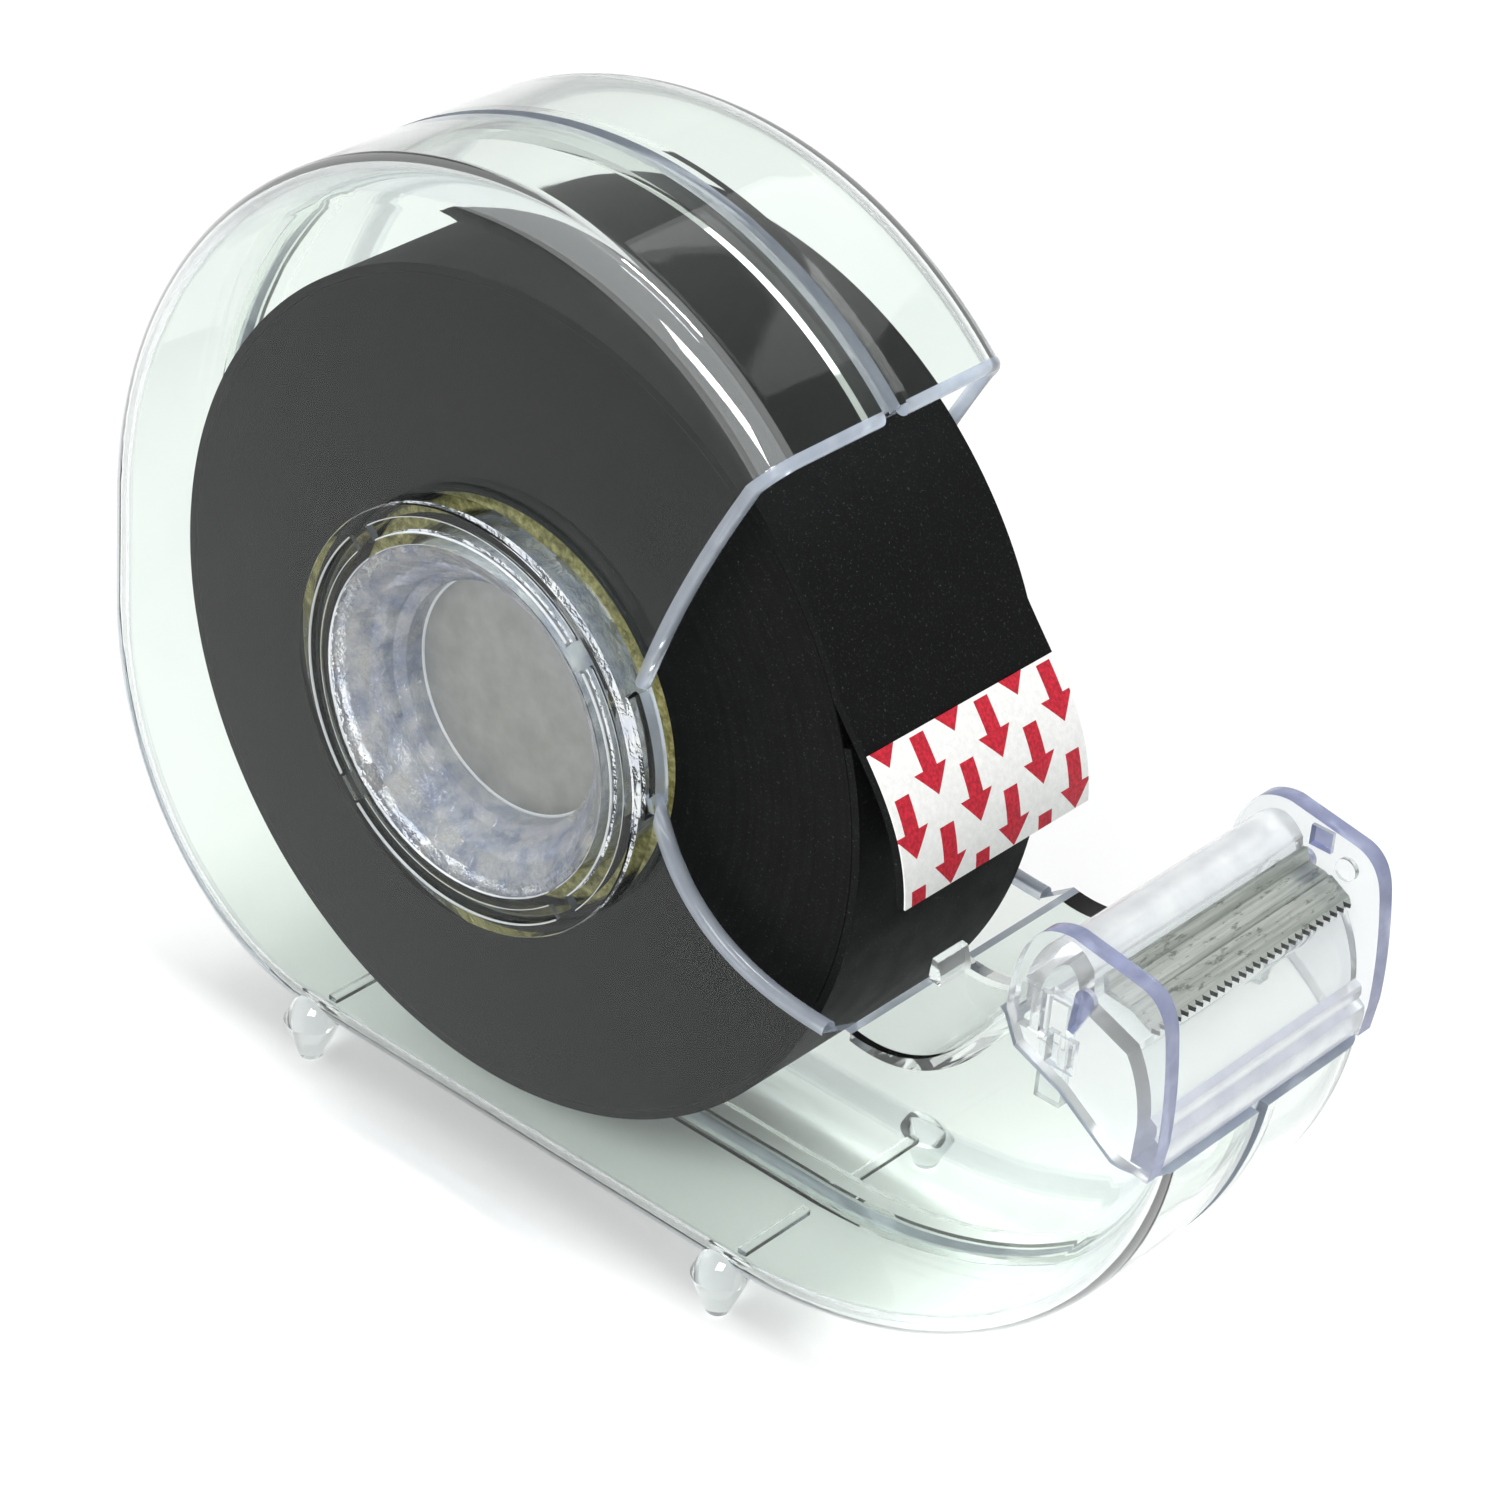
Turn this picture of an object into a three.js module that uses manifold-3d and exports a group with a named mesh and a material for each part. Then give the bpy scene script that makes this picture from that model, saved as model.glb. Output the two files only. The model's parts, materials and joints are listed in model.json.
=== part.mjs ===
// Clear two-part hand dispenser holding a roll of 19 mm magnetic tape, in millimetres.
//
// Every shape is drawn about the hub axis, with x towards the nose, y to the left and z up. The outer
// group then moves the whole object so that the origin is under its middle, on the plane of the feet.
//
// The dispenser is two half-shells that meet on the plane y = 0, a nose head clipped to their front,
// a toothed steel blade on the nose, and a roll on a cardboard core that turns on the two hub tubes.

import * as THREE from "three";
import { mergeVertices } from "three/addons/utils/BufferGeometryUtils.js";
import Module from "manifold-3d";

const wasm = await Module();
wasm.setup();

// ---- Driving dimensions ----

const TAPE_WIDTH = 19;
const TAPE_THICKNESS = 0.6;
const ROLL_RADIUS = 30.9;
const CORE_OUTER_RADIUS = 15;
const CORE_INNER_RADIUS = 12.75;
const CORE_WIDTH = 17.2;

const WALL = 1.2;
const GAP = 0.3;
const HALF_WIDTH = 12;
const EDGE_ROUND = 2.8;
const SEAM_GAP = 1;
const SEAM = SEAM_GAP / 2;

const BACK_X = -38.3;
const TOP_Z = 38;
const FLOOR_Z = -34.6;
const NOSE_X = 57.8;
const FOOT_Z = -37.3;

const HUB_FACE = 14.2;
const HUB_BACK = HUB_FACE - WALL;
const HUB_RADIUS = 15.6;
const SKIRT_INNER = HUB_RADIUS - WALL;
const HUB_RUNNING_GAP = 0.55;
const HUB_TUBE_OUTER = CORE_INNER_RADIUS - HUB_RUNNING_GAP;
const HUB_TUBE_INNER = HUB_TUBE_OUTER - 1;
const HUB_TUBE_END = 5;
const WEB_RADIUS = 8.9;
const WEB_FACE = 8.9;
const WEB_THICKNESS = 0.9;

// A distance that lies beyond the object in every direction, for the solids that only cut.
const BEYOND = 80;

// Points of the side view that several pieces share.
const BACK_CENTRE = { x: -0.6, z: 0.3 };
const TOP_FRONT_CENTRE = { x: -0.6, z: 4.7 };
const HEEL_CENTRE = { x: -16, z: -8 };
const CHIN_CENTRE = { x: 24, z: -4.6 };
const LIP_ANGLE = THREE.MathUtils.degToRad(51.5);
const LIP_INNER_RADIUS = 33.8;
const THROAT_REAR = { x: 33, z: -8.6 };
const THROAT_FRONT = { x: 44.8, z: -0.4 };
const SPLIT_LINE = [
  [45.2, -0.7],
  [46.2, -2.7],
  [50, -4.2],
  [54.5, -7.2],
  [58.4, -7.5],
];

// ---- Solids ----

function solidOf(geometry) {
  const bare = geometry.clone();
  bare.deleteAttribute("normal");
  bare.deleteAttribute("uv");
  const merged = mergeVertices(bare, 1e-4);
  const mesh = new wasm.Mesh({
    numProp: 3,
    vertProperties: merged.attributes.position.array,
    triVerts: new Uint32Array(merged.index.array),
  });
  return new wasm.Manifold(mesh);
}

function geometryOf(solid) {
  const mesh = solid.getMesh();
  const geometry = new THREE.BufferGeometry();
  geometry.setAttribute("position", new THREE.BufferAttribute(mesh.vertProperties, 3));
  geometry.setIndex(new THREE.BufferAttribute(mesh.triVerts, 1));
  geometry.computeVertexNormals();
  return geometry;
}

function join(solids) {
  return solids.reduce((whole, solid) => whole.add(solid));
}

// A side-view outline carried across the width, from the smaller y to the larger.
function prism(outline, yA, yB, curveSegments = 12) {
  const from = Math.min(yA, yB);
  const depth = Math.abs(yB - yA);
  const geometry = new THREE.ExtrudeGeometry(outline, { depth, bevelEnabled: false, curveSegments });
  geometry.rotateX(Math.PI / 2);
  geometry.translate(0, from + depth, 0);
  return solidOf(geometry);
}

// The same, centred on y = 0, with its long edges rounded.
function roundedPrism(outline, halfWidth, round, curveSegments) {
  const geometry = new THREE.ExtrudeGeometry(outline, {
    depth: 2 * (halfWidth - round),
    bevelThickness: round,
    bevelSize: round,
    bevelOffset: -round,
    bevelSegments: 3,
    curveSegments,
  });
  geometry.rotateX(Math.PI / 2);
  geometry.translate(0, halfWidth - round, 0);
  return solidOf(geometry);
}

// A box between two values of x, two of y in either order, and two of z.
function box(x, y, z) {
  const geometry = new THREE.BoxGeometry(x[1] - x[0], Math.abs(y[1] - y[0]), z[1] - z[0]);
  geometry.translate((x[0] + x[1]) / 2, (y[0] + y[1]) / 2, (z[0] + z[1]) / 2);
  return solidOf(geometry);
}

// A closed profile of [radius, y] points turned about the hub axis.
function turned(profile, segments) {
  const points = profile.concat([profile[0]]).map(([radius, y]) => new THREE.Vector2(radius, y));
  const solid = solidOf(new THREE.LatheGeometry(points, segments));
  if (solid.volume() > 0) return solid;
  return solidOf(new THREE.LatheGeometry(points.reverse(), segments));
}

function polygon(points) {
  return new THREE.Shape(points.map(([x, z]) => new THREE.Vector2(x, z)));
}

// ---- Side-view outlines ----

// The closed outer silhouette, moved inwards by inset. It is closed straight across the mouth.
function bodyOutline(inset) {
  const topRadius = TOP_Z - TOP_FRONT_CENTRE.z - inset;
  const backRadius = TOP_Z - BACK_CENTRE.z - inset;
  const topStart = THREE.MathUtils.degToRad(34);
  const outline = new THREE.Shape();
  outline.absarc(TOP_FRONT_CENTRE.x, TOP_FRONT_CENTRE.z, topRadius, topStart, Math.PI / 2, false);
  outline.absarc(BACK_CENTRE.x, BACK_CENTRE.z, backRadius, Math.PI / 2, Math.PI, false);
  outline.absellipse(
    HEEL_CENTRE.x, HEEL_CENTRE.z,
    HEEL_CENTRE.x - BACK_X - inset, HEEL_CENTRE.z - FLOOR_Z - inset,
    Math.PI, 1.5 * Math.PI, false,
  );
  outline.absellipse(
    CHIN_CENTRE.x, CHIN_CENTRE.z,
    NOSE_X - CHIN_CENTRE.x - inset, CHIN_CENTRE.z - FLOOR_Z - inset,
    1.5 * Math.PI, 2 * Math.PI, false,
  );
  return outline;
}

// The upper face of the throat floor, from the rear lip up towards the nose.
function drawThroat(path, drop) {
  path.lineTo(THROAT_REAR.x, THROAT_REAR.z - drop);
  path.bezierCurveTo(38, -9.6 - drop, 42.4 + drop / 2, -6.4 - drop, THROAT_FRONT.x + drop, THROAT_FRONT.z);
}

// Everything in front of the shells' edge: the lip, the cut-away beside the roll, the throat and the
// line on which the nose head meets the shells.
function mouthOutline() {
  const outline = new THREE.Shape();
  const lip = (radius) => [radius * Math.cos(LIP_ANGLE), radius * Math.sin(LIP_ANGLE)];
  outline.moveTo(...lip(BEYOND));
  outline.lineTo(...lip(LIP_INNER_RADIUS));
  outline.quadraticCurveTo(15.6, 16.5, 13.2, 8.3);
  outline.absarc(0, 0, HUB_RADIUS, Math.atan2(8.3, 13.2), Math.atan2(-1.1, 15.56), true);
  outline.bezierCurveTo(17.5, -6.5, 22.5, -9.8, 31.2, -9.9);
  drawThroat(outline, 0);
  SPLIT_LINE.forEach(([x, z]) => outline.lineTo(x, z));
  outline.lineTo(BEYOND, SPLIT_LINE.at(-1)[1]);
  return outline;
}

// The throat floor's section. It reaches above the floor's face, and the mouth cut trims it.
function throatOutline() {
  const line = (drop) => {
    const path = new THREE.Path();
    path.moveTo(THROAT_REAR.x, THROAT_REAR.z - drop);
    drawThroat(path, drop);
    return path.getPoints(8);
  };
  return new THREE.Shape(line(-WALL / 2).concat(line(WALL).reverse()));
}

// ---- Half-shells ----

const CAVITY_HALF_WIDTH = HALF_WIDTH - WALL;
const SHELL_CURVE_SEGMENTS = 12;
const TONGUE_THICKNESS = 0.6;
const TONGUE_REACH = 1.6;
const TONGUE_ROOT = 2.2;

function halfSpace(side) {
  return box([-BEYOND, BEYOND], [side * SEAM, side * BEYOND], [-BEYOND, BEYOND]);
}

const FOOT_X = [-15.7, 24.3];
const FOOT_Y = 11.6;
const FOOT_TOP_RADIUS = 2.2;
const FOOT_TIP_RADIUS = 0.9;

// A blunt cone that starts inside the floor's rounded corner, so that it joins the wall too.
function foot(x, side) {
  const top = FLOOR_Z + 1.9;
  const height = top - FOOT_Z;
  const geometry = new THREE.CylinderGeometry(FOOT_TOP_RADIUS, FOOT_TIP_RADIUS, height, 12);
  geometry.rotateX(Math.PI / 2);
  geometry.translate(x, side * FOOT_Y, FOOT_Z + height / 2);
  return solidOf(geometry);
}

const RIB_THICKNESS = 0.7;
const RIB_HEIGHT = 0.5;

// A low rib across the floor between the two feet. It stops short of the seam tongue and of the corner.
function floorRib(x, side) {
  const y = [side * (TONGUE_ROOT + GAP), side * (CAVITY_HALF_WIDTH - 2)];
  return box([x, x + RIB_THICKNESS], y, [FLOOR_Z + WALL / 2, FLOOR_Z + WALL + RIB_HEIGHT]);
}

const GROOVE_DEPTH = 0.6;
const GROOVE_INNER = 13.5;
const GROOVE_OUTER = 14.7;
const GROOVE_DRAFT = 0.1;
const PAD_ANGLES = [45, 135, 225, 315].map(THREE.MathUtils.degToRad);

// The hub is a tube that carries the core, under a round face plate with a ring groove and four flat
// pads. A skirt joins the plate to the wall, and a funnel runs from the plate down to a closed web.
function hub(side) {
  const webBack = WEB_FACE - WEB_THICKNESS;
  const funnelOuter = WEB_RADIUS + WEB_THICKNESS;
  const grooveFloor = HUB_FACE - GROOVE_DEPTH;
  const profile = [
    [0, webBack],
    [funnelOuter, webBack],
    [10.5, 11],
    [HUB_TUBE_INNER, 11.8],
    [HUB_TUBE_INNER, HUB_TUBE_END],
    [HUB_TUBE_OUTER, HUB_TUBE_END],
    [HUB_TUBE_OUTER, HUB_BACK],
    [SKIRT_INNER, HUB_BACK],
    [SKIRT_INNER, CAVITY_HALF_WIDTH],
    [HUB_RADIUS, CAVITY_HALF_WIDTH],
    [HUB_RADIUS, HUB_FACE],
    [GROOVE_OUTER, HUB_FACE],
    [GROOVE_OUTER - GROOVE_DRAFT, grooveFloor],
    [GROOVE_INNER + GROOVE_DRAFT, grooveFloor],
    [GROOVE_INNER, HUB_FACE],
    [CORE_INNER_RADIUS, HUB_FACE],
    [11.6, 13.2],
    [10, 12.3],
    [9.7, 11],
    [WEB_RADIUS, WEB_FACE + 1.6],
    [WEB_RADIUS, WEB_FACE],
    [0, WEB_FACE],
  ];
  const cup = turned(profile.map(([radius, y]) => [radius, side * y]), 40);
  // The skirt is open in front, where the mouth comes up to the hub.
  const skirtWindow = box([13, 17], [side * (CAVITY_HALF_WIDTH - 1), side * HUB_BACK], [-0.6, 7.8]);
  const pads = PAD_ANGLES.map((angle) => {
    const pad = new THREE.BoxGeometry(2.3, 1, 2.6);
    pad.translate((GROOVE_INNER + GROOVE_OUTER) / 2, side * (HUB_FACE - 0.7), 0);
    pad.rotateY(angle);
    return solidOf(pad);
  });
  return join([cup.subtract(skirtWindow), ...pads]);
}

function halfShell(side) {
  const body = roundedPrism(bodyOutline(0), HALF_WIDTH, EDGE_ROUND, SHELL_CURVE_SEGMENTS);
  const cavity = roundedPrism(bodyOutline(WALL), CAVITY_HALF_WIDTH, EDGE_ROUND - WALL, SHELL_CURVE_SEGMENTS);
  const feet = FOOT_X.map((x) => foot(x, side));
  const mouth = prism(mouthOutline(), -BEYOND, BEYOND);
  const holeRadius = (SKIRT_INNER + HUB_RADIUS) / 2;
  const hubHole = turned([[0, -BEYOND], [holeRadius, -BEYOND], [holeRadius, BEYOND], [0, BEYOND]], 40);
  const throat = prism(throatOutline(), side * SEAM, side * (CAVITY_HALF_WIDTH + WALL / 2));
  const ribs = FOOT_X.map((x) => floorRib(x, side));
  return join([body, ...feet])
    .subtract(cavity)
    .intersect(halfSpace(side))
    .add(throat)
    .subtract(mouth)
    .subtract(hubHole)
    .add(join([hub(side), ...ribs]));
}

// The locating tongue stands on the left half's seam edge and reaches under the right half's rim.
// Its root is the thicker part that joins it to the rim.
function seamTongue() {
  const ring = (outer, inner, yA, yB) => {
    const band = prism(bodyOutline(outer), yA, yB, SHELL_CURVE_SEGMENTS);
    return band.subtract(prism(bodyOutline(inner), yA - 1, yB + 1, SHELL_CURVE_SEGMENTS));
  };
  const depth = WALL + GAP;
  const tongue = ring(depth, depth + TONGUE_THICKNESS, -TONGUE_REACH, TONGUE_ROOT);
  const root = ring(WALL / 2, depth + TONGUE_THICKNESS, SEAM + GAP, TONGUE_ROOT);
  return join([tongue, root]).subtract(prism(mouthOutline(), -BEYOND, BEYOND));
}

// The little ear that stands on the rear edge of the throat floor, beside the seam.
function throatEar() {
  const x = [THROAT_REAR.x - 0.1, THROAT_REAR.x + 1];
  return box(x, [-3.6, -SEAM], [THROAT_REAR.z - WALL, THROAT_REAR.z + 1.7]);
}

function rightShell() {
  return halfShell(-1).add(throatEar());
}

function leftShell() {
  return halfShell(1).add(seamTongue());
}

// ---- Nose ----

const CHEEK_INNER = 10.6;
const NOSE_TOP = 7.3;
const NOSE_CURVE_SEGMENTS = 6;

function cheekOutline() {
  const outline = new THREE.Shape();
  outline.moveTo(45.3, -0.2);
  outline.quadraticCurveTo(45.2, 4.6, 47.2, 6.5);
  outline.quadraticCurveTo(48.2, NOSE_TOP, 49.6, NOSE_TOP);
  outline.lineTo(55, 6.4);
  outline.quadraticCurveTo(56.8, 6, 57.2, 3.6);
  outline.quadraticCurveTo(57.9, -0.6, 57.75, -4.6);
  outline.lineTo(57.4, -7.2);
  outline.lineTo(54.6, -6.9);
  outline.lineTo(50.1, -3.9);
  outline.lineTo(46.4, -2.4);
  return outline;
}

// The wall that runs across between the cheeks: up behind the platform, over its hump, along the
// blade seat and down the front to the lower bridge.
function noseWallOutline() {
  const outline = new THREE.Shape();
  outline.moveTo(45.7, -0.2);
  outline.quadraticCurveTo(45.8, 3.2, 47.3, 5.3);
  outline.quadraticCurveTo(49.2, 7.4, 50.9, 5.2);
  outline.lineTo(51.2, 3.2);
  outline.lineTo(54.9, 1.8);
  outline.quadraticCurveTo(57.2, -1.2, 57.3, -4.6);
  outline.lineTo(57.1, -6.9);
  outline.lineTo(55.5, -6.9);
  outline.lineTo(55.6, -4.2);
  outline.quadraticCurveTo(55.4, -1.2, 54.1, 0.6);
  outline.lineTo(50.2, 2.1);
  outline.quadraticCurveTo(50, 4.4, 49, 4.6);
  outline.quadraticCurveTo(47.2, 4, 46.9, -0.2);
  return outline;
}

// The wall and the two cheeks. Inside each cheek a tab carries a leg that reaches down into the shells.
function noseHead() {
  const rootedIn = CHEEK_INNER + 0.2;
  const tabX = [47.4, 49.4];
  const tabInner = 9.4;
  const wall = prism(noseWallOutline(), -rootedIn, rootedIn, NOSE_CURVE_SEGMENTS);
  const sides = [-1, 1].flatMap((side) => [
    prism(cheekOutline(), side * CHEEK_INNER, side * HALF_WIDTH, NOSE_CURVE_SEGMENTS),
    box(tabX, [side * tabInner, side * rootedIn], [-1.8, 1.6]),
    box(tabX, [side * tabInner, side * (CHEEK_INNER - GAP)], [-6.4, -1.6]),
  ]);
  return join([wall, ...sides]);
}

const TOOTH_ROOT_X = 55.3;
const TOOTH_TIP_X = 55.72;
const TOOTH_PITCH = 0.75;
const TOOTH_COUNT = 27;

// A strip of steel, folded up behind the platform's edge and down in front. Its front edge is toothed.
function cutterBlade() {
  const halfLength = (TOOTH_PITCH * TOOTH_COUNT) / 2;
  const section = polygon([
    [51.3, 4.9],
    [51.55, 3.65],
    [53.7, 3.4],
    [55.9, 2.35],
    [55.9, 2.65],
    [53.75, 3.85],
    [51.95, 4.05],
    [51.65, 5],
  ]);
  const edge = [[51, halfLength], [51, -halfLength]];
  for (let tooth = 0; tooth < TOOTH_COUNT; tooth += 1) {
    const y = -halfLength + tooth * TOOTH_PITCH;
    edge.push([TOOTH_ROOT_X, y], [TOOTH_TIP_X, y + TOOTH_PITCH / 2]);
  }
  edge.push([TOOTH_ROOT_X, halfLength]);
  const teeth = new THREE.ExtrudeGeometry(polygon(edge), { depth: 6, bevelEnabled: false });
  return prism(section, -halfLength, halfLength).intersect(solidOf(teeth));
}

// ---- Roll ----

const HALF_TAPE = TAPE_WIDTH / 2;
const WRAP_INNER = ROLL_RADIUS - TAPE_THICKNESS;

function ring(innerRadius, outerRadius, halfWidth, segments) {
  return turned([
    [innerRadius, -halfWidth],
    [outerRadius, -halfWidth],
    [outerRadius, halfWidth],
    [innerRadius, halfWidth],
  ], segments);
}

// The outermost turn of tape, which lifts off the roll at LIFT_ANGLE and hangs forward in the mouth.
const LIFT_ANGLE = THREE.MathUtils.degToRad(25);
const TURN_END = LIFT_ANGLE + THREE.MathUtils.degToRad(354);
const TAPE_MIDDLE = ROLL_RADIUS - TAPE_THICKNESS / 2;

function hangingTail() {
  const lift = new THREE.Vector2(Math.cos(LIFT_ANGLE), Math.sin(LIFT_ANGLE)).multiplyScalar(TAPE_MIDDLE);
  const end = new THREE.Vector2(34.4, 0.5);
  return new THREE.CubicBezierCurve(lift, new THREE.Vector2(30.6, 9.2), new THREE.Vector2(34, 6.4), end);
}

function tapePoints() {
  const turn = new THREE.Path();
  turn.absarc(0, 0, TAPE_MIDDLE, TURN_END, LIFT_ANGLE, true);
  return turn.getPoints(60).concat(hangingTail().getPoints(12).slice(1));
}

// A strip of the given thickness lying offset mm outside a line of points.
function stripAlong(points, offset, thickness) {
  const side = (distance) => points.map((point, i) => {
    const before = points[Math.max(i - 1, 0)];
    const after = points[Math.min(i + 1, points.length - 1)];
    const along = after.clone().sub(before).normalize();
    return new THREE.Vector2(point.x - along.y * distance, point.y + along.x * distance);
  });
  const outline = side(offset).concat(side(offset + thickness).reverse());
  return new THREE.Shape(outline);
}

function tapeLead() {
  return prism(stripAlong(tapePoints(), -TAPE_THICKNESS / 2, TAPE_THICKNESS), -HALF_TAPE, HALF_TAPE);
}

const LINER_LENGTH = 10.5;
const LINER_THICKNESS = 0.3;

// The printed release liner over the last stretch of tape.
function linerTab() {
  const tail = hangingTail();
  const steps = 16;
  const bare = Math.round(steps * (1 - LINER_LENGTH / tail.getLength()));
  const covered = tail.getSpacedPoints(steps).slice(bare);
  return prism(stripAlong(covered, TAPE_THICKNESS / 2 + GAP, LINER_THICKNESS), -HALF_TAPE, HALF_TAPE);
}

// ---- Assembly ----

const CLEAR = { color: 0xdfe8e6, roughness: 0.06, metalness: 0, transparent: true, opacity: 0.35 };

function node(name, solid, look) {
  const mesh = new THREE.Mesh(geometryOf(solid), new THREE.MeshStandardMaterial(look));
  mesh.name = name;
  return mesh;
}

const frame = new THREE.Group();
frame.add(
  node("left_shell", leftShell(), CLEAR),
  node("nose_head", noseHead(), CLEAR),
  node("cutter_blade", cutterBlade(), { color: 0xb9bdb8, roughness: 0.25, metalness: 1 }),
);

const cover = new THREE.Group();
cover.add(node("right_shell", rightShell(), CLEAR));

const roll = new THREE.Group();
roll.add(
  node("tape_core", ring(CORE_INNER_RADIUS, CORE_OUTER_RADIUS - GAP, CORE_WIDTH / 2, 40),
    { color: 0x9a9060, roughness: 0.9, metalness: 0 }),
  node("tape_roll", ring(CORE_OUTER_RADIUS, WRAP_INNER - GAP, HALF_TAPE, 72),
    { color: 0x1c1e1e, roughness: 0.6, metalness: 0 }),
);

const lead = new THREE.Group();
lead.add(
  node("tape_lead", tapeLead(), { color: 0x141414, roughness: 0.55, metalness: 0 }),
  node("liner_tab", linerTab(), { color: 0xf2f2ee, roughness: 0.6, metalness: 0 }),
);

const dispenser = new THREE.Group();
dispenser.position.set(-(BACK_X + NOSE_X) / 2, 0, -FOOT_Z);
dispenser.add(frame, cover, roll, lead);

export default dispenser;
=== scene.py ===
"""Looks for the clear tape dispenser: smooth moulded plastic, wound magnetic tape, steel and paper.

Shapes are drawn in millimetres about the hub axis, with x towards the nose, y to the left and z up, as the
CAD part is, and placed in the row frame (metres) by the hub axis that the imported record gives.
"""
import json
import math

import bmesh
import bpy
from mathutils import Matrix, Vector


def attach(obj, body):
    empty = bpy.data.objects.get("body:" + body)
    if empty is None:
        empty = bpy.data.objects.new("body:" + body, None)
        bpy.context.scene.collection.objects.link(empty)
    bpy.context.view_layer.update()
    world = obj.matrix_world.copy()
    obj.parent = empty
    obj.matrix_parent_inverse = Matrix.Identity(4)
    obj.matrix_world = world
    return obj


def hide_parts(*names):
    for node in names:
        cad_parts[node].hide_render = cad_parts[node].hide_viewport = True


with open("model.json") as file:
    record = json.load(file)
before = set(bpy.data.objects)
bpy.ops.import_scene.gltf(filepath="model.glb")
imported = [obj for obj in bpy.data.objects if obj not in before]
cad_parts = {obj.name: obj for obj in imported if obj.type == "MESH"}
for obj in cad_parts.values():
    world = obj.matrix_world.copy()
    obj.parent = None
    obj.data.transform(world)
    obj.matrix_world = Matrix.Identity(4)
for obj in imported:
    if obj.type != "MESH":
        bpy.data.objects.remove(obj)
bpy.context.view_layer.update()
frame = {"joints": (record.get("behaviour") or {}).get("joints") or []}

MM = 0.001
HUB = Vector(next(j for j in frame["joints"] if j["name"] == "roll_spin")["pos_m"])

# ---- Driving dimensions, in millimetres (the CAD part's) ----

ROLL_RADIUS = 30.9
TAPE_THICKNESS = 0.6
HALF_TAPE = 9.5
CORE_OUTER_RADIUS = 15.0
HALF_CORE = 8.6
CORE_INNER_RADIUS = 12.75

WALL = 1.2
GAP = 0.3
HALF_WIDTH = 12.0
CAVITY_HALF_WIDTH = HALF_WIDTH - WALL
EDGE_ROUND = 2.8
SEAM = 0.5

BACK_X = -38.3
TOP_Z = 38.0
FLOOR_Z = -34.6
NOSE_X = 57.8
FOOT_Z = -37.3
BACK_CENTRE = (-0.6, 0.3)
TOP_FRONT_CENTRE = (-0.6, 4.7)
HEEL_CENTRE = (-16.0, -8.0)
CHIN_CENTRE = (24.0, -4.6)
LIP_ANGLE = math.radians(51.5)
LIP_INNER_RADIUS = 33.8
MOUTH_TOP_ON_HUB = (13.2, 8.3)
MOUTH_LOW_ON_HUB = (15.56, -1.1)
MOUTH_REAR_END = (31.2, -9.9)
THROAT_REAR = (33.0, -8.6)
THROAT_FRONT = (44.8, -0.4)

HUB_FACE = 14.2
HUB_BACK = HUB_FACE - 1.2
HUB_RADIUS = 15.6
SKIRT_INNER = HUB_RADIUS - 1.2
HUB_TUBE_OUTER = CORE_INNER_RADIUS - 0.55
HUB_TUBE_INNER = HUB_TUBE_OUTER - 1
HUB_TUBE_END = 5.0
WEB_RADIUS = 8.9
WEB_FACE = 8.9
WEB_BACK = WEB_FACE - 0.9
GROOVE_DEPTH = 0.6
GROOVE_INNER = 13.5
GROOVE_OUTER = 14.7
GROOVE_DRAFT = 0.1
PAD_DEGREES = (45, 135, 225, 315)

TONGUE_THICKNESS = 0.6
TONGUE_REACH = 1.6
TONGUE_ROOT = 2.2

# Where the camera stands round the object and how it is held. The distance is in millimetres, and so is
# the target, measured from the hub axis.
CAMERA_DEGREES = {"azimuth": 38.66, "elevation": 32.71, "roll": 5.17}
CAMERA_LENS = 113.96
CAMERA_DISTANCE = 321.13
CAMERA_TARGET = (13.48, 0, -1.74)

# Distances that lie beyond the object, for the solids that only cut.
BEYOND = 40
FAR_BEYOND = 80
PAST_NOSE = 70
PAST_TOP = 50

POLYSTYRENE_IOR = 1.49


# ---- Curves in the side view, as lists of (x, z) ----

def arc(centre, rx, rz, start, end, steps):
    """Points of an ellipse's arc. The angles are in radians."""
    points = []
    for i in range(steps + 1):
        a = start + (end - start) * i / steps
        points.append((centre[0] + rx * math.cos(a), centre[1] + rz * math.sin(a)))
    return points


def bezier(control, steps):
    """Points of a quadratic or cubic Bezier curve."""
    degree = len(control) - 1
    points = []
    for i in range(steps + 1):
        t = i / steps
        weights = [math.comb(degree, k) * t**k * (1 - t) ** (degree - k) for k in range(degree + 1)]
        points.append(tuple(sum(w * p[axis] for w, p in zip(weights, control)) for axis in (0, 1)))
    return points


def joined(*runs):
    """One outline from several runs, without doubled points."""
    outline = []
    for run in runs:
        for p in run:
            if not outline or math.dist(p, outline[-1]) > 1e-4:
                outline.append(p)
    if math.dist(outline[0], outline[-1]) < 1e-4:
        outline.pop()
    return outline


def offset(points, distance):
    """The points of an open line moved along their left-hand normals."""
    moved = []
    for i, p in enumerate(points):
        before = points[max(i - 1, 0)]
        after = points[min(i + 1, len(points) - 1)]
        to_here = Vector((p[0] - before[0], p[1] - before[1]))
        onward = Vector((after[0] - p[0], after[1] - p[1]))
        if to_here.length < 1e-9:
            to_here = onward
        if onward.length < 1e-9:
            onward = to_here
        n1 = Vector((-to_here.y, to_here.x)).normalized()
        n2 = Vector((-onward.y, onward.x)).normalized()
        normal = (n1 + n2).normalized()
        stretch = 1 / max(normal.dot(n1), 0.5)
        moved.append((p[0] + normal.x * distance * stretch, p[1] + normal.y * distance * stretch))
    return moved


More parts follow.
